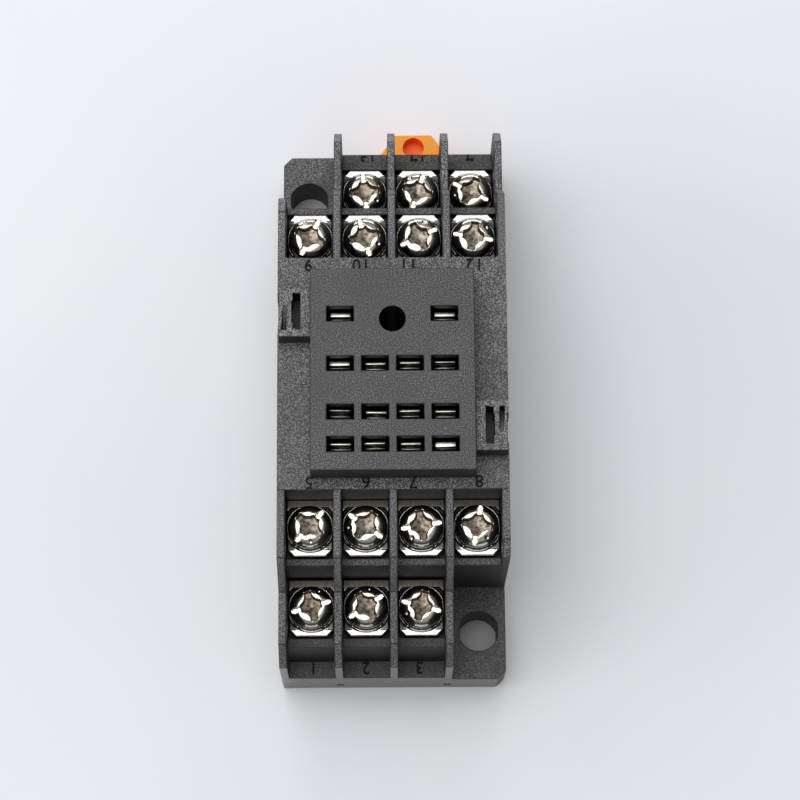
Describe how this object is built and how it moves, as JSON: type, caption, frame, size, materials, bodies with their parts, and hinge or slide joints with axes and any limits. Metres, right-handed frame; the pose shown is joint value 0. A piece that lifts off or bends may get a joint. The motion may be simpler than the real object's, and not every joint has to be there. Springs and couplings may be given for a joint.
{
  "type": "plug-in relay socket",
  "caption": "Screw-terminal socket for a plug-in relay, with stepped terminal tiers, fork contacts below a raised seat, diagonal fixing ears and a spring latch for a 35 mm rail.",
  "frame": {"origin": "middle of the base on its back plane", "axes": "+X across the terminal columns, +Y along the base towards the latch tab, +Z out of the panel towards the relay"},
  "size_m": [0.029, 0.0758, 0.03],
  "materials": {
    "black_plastic": "fine spark-eroded grain, satin",
    "rear_plastic": "moulded, satin",
    "orange_plastic": "moulded, smooth",
    "zinc_steel": "zinc plated",
    "strip_brass": "stamped, nickel plated",
    "contact_bronze": "stamped, nickel plated",
    "washer_nickel": "bright nickel plated",
    "screw_nickel": "bright nickel plated"
  },
  "bodies": {
    "base": {"housing": "black_plastic", "rear_plate": "rear_plastic", "plate_screw": "zinc_steel", "latch_spring": "orange_plastic", "terminal_strip_01": "strip_brass", "terminal_strip_02": "strip_brass", "terminal_strip_03": "strip_brass", "terminal_strip_04": "strip_brass", "terminal_strip_05": "strip_brass", "terminal_strip_06": "strip_brass", "terminal_strip_07": "strip_brass", "terminal_strip_08": "strip_brass", "terminal_strip_09": "strip_brass", "terminal_strip_10": "strip_brass", "terminal_strip_11": "strip_brass", "terminal_strip_12": "strip_brass", "terminal_strip_13": "strip_brass", "terminal_strip_14": "strip_brass", "contact_clips_01": "contact_bronze", "contact_clips_02": "contact_bronze", "contact_clips_03": "contact_bronze", "contact_clips_04": "contact_bronze"},
    "latch": {"rail_latch": "orange_plastic"},
    "clamp_01": {"clamp_washer_01": "washer_nickel"},
    "screw_01": {"terminal_screw_01": "screw_nickel"},
    "clamp_02": {"clamp_washer_02": "washer_nickel"},
    "screw_02": {"terminal_screw_02": "screw_nickel"},
    "clamp_03": {"clamp_washer_03": "washer_nickel"},
    "screw_03": {"terminal_screw_03": "screw_nickel"},
    "clamp_04": {"clamp_washer_04": "washer_nickel"},
    "screw_04": {"terminal_screw_04": "screw_nickel"},
    "clamp_05": {"clamp_washer_05": "washer_nickel"},
    "screw_05": {"terminal_screw_05": "screw_nickel"},
    "clamp_06": {"clamp_washer_06": "washer_nickel"},
    "screw_06": {"terminal_screw_06": "screw_nickel"},
    "clamp_07": {"clamp_washer_07": "washer_nickel"},
    "screw_07": {"terminal_screw_07": "screw_nickel"},
    "clamp_08": {"clamp_washer_08": "washer_nickel"},
    "screw_08": {"terminal_screw_08": "screw_nickel"},
    "clamp_09": {"clamp_washer_09": "washer_nickel"},
    "screw_09": {"terminal_screw_09": "screw_nickel"},
    "clamp_10": {"clamp_washer_10": "washer_nickel"},
    "screw_10": {"terminal_screw_10": "screw_nickel"},
    "clamp_11": {"clamp_washer_11": "washer_nickel"},
    "screw_11": {"terminal_screw_11": "screw_nickel"},
    "clamp_12": {"clamp_washer_12": "washer_nickel"},
    "screw_12": {"terminal_screw_12": "screw_nickel"},
    "clamp_13": {"clamp_washer_13": "washer_nickel"},
    "screw_13": {"terminal_screw_13": "screw_nickel"},
    "clamp_14": {"clamp_washer_14": "washer_nickel"},
    "screw_14": {"terminal_screw_14": "screw_nickel"}
  },
  "joints": [
    {"name": "clamp_lift_01", "type": "slide", "parent": "base", "child": "clamp_01", "axis": [0, 0, 1], "range_m": [0, 0.0025]},
    {"name": "screw_turn_01", "type": "hinge", "parent": "clamp_01", "child": "screw_01", "pos_m": [-0.0105, -0.0278, 0.0135], "axis": [0, 0, 1], "range_deg": [0, 1810]},
    {"name": "clamp_lift_02", "type": "slide", "parent": "base", "child": "clamp_02", "axis": [0, 0, 1], "range_m": [0, 0.0025]},
    {"name": "screw_turn_02", "type": "hinge", "parent": "clamp_02", "child": "screw_02", "pos_m": [-0.0035, -0.0278, 0.0135], "axis": [0, 0, 1], "range_deg": [0, 1810]},
    {"name": "clamp_lift_03", "type": "slide", "parent": "base", "child": "clamp_03", "axis": [0, 0, 1], "range_m": [0, 0.0025]},
    {"name": "screw_turn_03", "type": "hinge", "parent": "clamp_03", "child": "screw_03", "pos_m": [0.0035, -0.0278, 0.0135], "axis": [0, 0, 1], "range_deg": [0, 1810]},
    {"name": "clamp_lift_04", "type": "slide", "parent": "base", "child": "clamp_04", "axis": [0, 0, 1], "range_m": [0, 0.0025]},
    {"name": "screw_turn_04", "type": "hinge", "parent": "clamp_04", "child": "screw_04", "pos_m": [0.0105, 0.0278, 0.0135], "axis": [0, 0, 1], "range_deg": [0, 1810]},
    {"name": "clamp_lift_05", "type": "slide", "parent": "base", "child": "clamp_05", "axis": [0, 0, 1], "range_m": [0, 0.0025]},
    {"name": "screw_turn_05", "type": "hinge", "parent": "clamp_05", "child": "screw_05", "pos_m": [-0.0105, -0.019, 0.021], "axis": [0, 0, 1], "range_deg": [0, 1810]},
    {"name": "clamp_lift_06", "type": "slide", "parent": "base", "child": "clamp_06", "axis": [0, 0, 1], "range_m": [0, 0.0025]},
    {"name": "screw_turn_06", "type": "hinge", "parent": "clamp_06", "child": "screw_06", "pos_m": [-0.0035, -0.019, 0.021], "axis": [0, 0, 1], "range_deg": [0, 1810]},
    {"name": "clamp_lift_07", "type": "slide", "parent": "base", "child": "clamp_07", "axis": [0, 0, 1], "range_m": [0, 0.0025]},
    {"name": "screw_turn_07", "type": "hinge", "parent": "clamp_07", "child": "screw_07", "pos_m": [0.0035, -0.019, 0.021], "axis": [0, 0, 1], "range_deg": [0, 1810]},
    {"name": "clamp_lift_08", "type": "slide", "parent": "base", "child": "clamp_08", "axis": [0, 0, 1], "range_m": [0, 0.0025]},
    {"name": "screw_turn_08", "type": "hinge", "parent": "clamp_08", "child": "screw_08", "pos_m": [0.0105, -0.019, 0.021], "axis": [0, 0, 1], "range_deg": [0, 1810]},
    {"name": "clamp_lift_09", "type": "slide", "parent": "base", "child": "clamp_09", "axis": [0, 0, 1], "range_m": [0, 0.0025]},
    {"name": "screw_turn_09", "type": "hinge", "parent": "clamp_09", "child": "screw_09", "pos_m": [-0.0105, 0.019, 0.021], "axis": [0, 0, 1], "range_deg": [0, 1810]},
    {"name": "clamp_lift_10", "type": "slide", "parent": "base", "child": "clamp_10", "axis": [0, 0, 1], "range_m": [0, 0.0025]},
    {"name": "screw_turn_10", "type": "hinge", "parent": "clamp_10", "child": "screw_10", "pos_m": [-0.0035, 0.019, 0.021], "axis": [0, 0, 1], "range_deg": [0, 1810]},
    {"name": "clamp_lift_11", "type": "slide", "parent": "base", "child": "clamp_11", "axis": [0, 0, 1], "range_m": [0, 0.0025]},
    {"name": "screw_turn_11", "type": "hinge", "parent": "clamp_11", "child": "screw_11", "pos_m": [0.0035, 0.019, 0.021], "axis": [0, 0, 1], "range_deg": [0, 1810]},
    {"name": "clamp_lift_12", "type": "slide", "parent": "base", "child": "clamp_12", "axis": [0, 0, 1], "range_m": [0, 0.0025]},
    {"name": "screw_turn_12", "type": "hinge", "parent": "clamp_12", "child": "screw_12", "pos_m": [0.0105, 0.019, 0.021], "axis": [0, 0, 1], "range_deg": [0, 1810]},
    {"name": "clamp_lift_13", "type": "slide", "parent": "base", "child": "clamp_13", "axis": [0, 0, 1], "range_m": [0, 0.0025]},
    {"name": "screw_turn_13", "type": "hinge", "parent": "clamp_13", "child": "screw_13", "pos_m": [-0.0035, 0.0278, 0.0135], "axis": [0, 0, 1], "range_deg": [0, 1810]},
    {"name": "clamp_lift_14", "type": "slide", "parent": "base", "child": "clamp_14", "axis": [0, 0, 1], "range_m": [0, 0.0025]},
    {"name": "screw_turn_14", "type": "hinge", "parent": "clamp_14", "child": "screw_14", "pos_m": [0.0035, 0.0278, 0.0135], "axis": [0, 0, 1], "range_deg": [0, 1810]},
    {"name": "latch_slide", "type": "slide", "parent": "base", "child": "latch", "axis": [0, 1, 0], "range_m": [0, 0.0025], "stiffness_N_per_m": 1200, "springref_m": -0.002, "deforming": ["latch_spring"]}
  ],
  "couplings": [
    {"joint": "screw_turn_01", "follows": "clamp_lift_01", "rad_per_m": 12566},
    {"joint": "screw_turn_02", "follows": "clamp_lift_02", "rad_per_m": 12566},
    {"joint": "screw_turn_03", "follows": "clamp_lift_03", "rad_per_m": 12566},
    {"joint": "screw_turn_04", "follows": "clamp_lift_04", "rad_per_m": 12566},
    {"joint": "screw_turn_05", "follows": "clamp_lift_05", "rad_per_m": 12566},
    {"joint": "screw_turn_06", "follows": "clamp_lift_06", "rad_per_m": 12566},
    {"joint": "screw_turn_07", "follows": "clamp_lift_07", "rad_per_m": 12566},
    {"joint": "screw_turn_08", "follows": "clamp_lift_08", "rad_per_m": 12566},
    {"joint": "screw_turn_09", "follows": "clamp_lift_09", "rad_per_m": 12566},
    {"joint": "screw_turn_10", "follows": "clamp_lift_10", "rad_per_m": 12566},
    {"joint": "screw_turn_11", "follows": "clamp_lift_11", "rad_per_m": 12566},
    {"joint": "screw_turn_12", "follows": "clamp_lift_12", "rad_per_m": 12566},
    {"joint": "screw_turn_13", "follows": "clamp_lift_13", "rad_per_m": 12566},
    {"joint": "screw_turn_14", "follows": "clamp_lift_14", "rad_per_m": 12566}
  ]
}
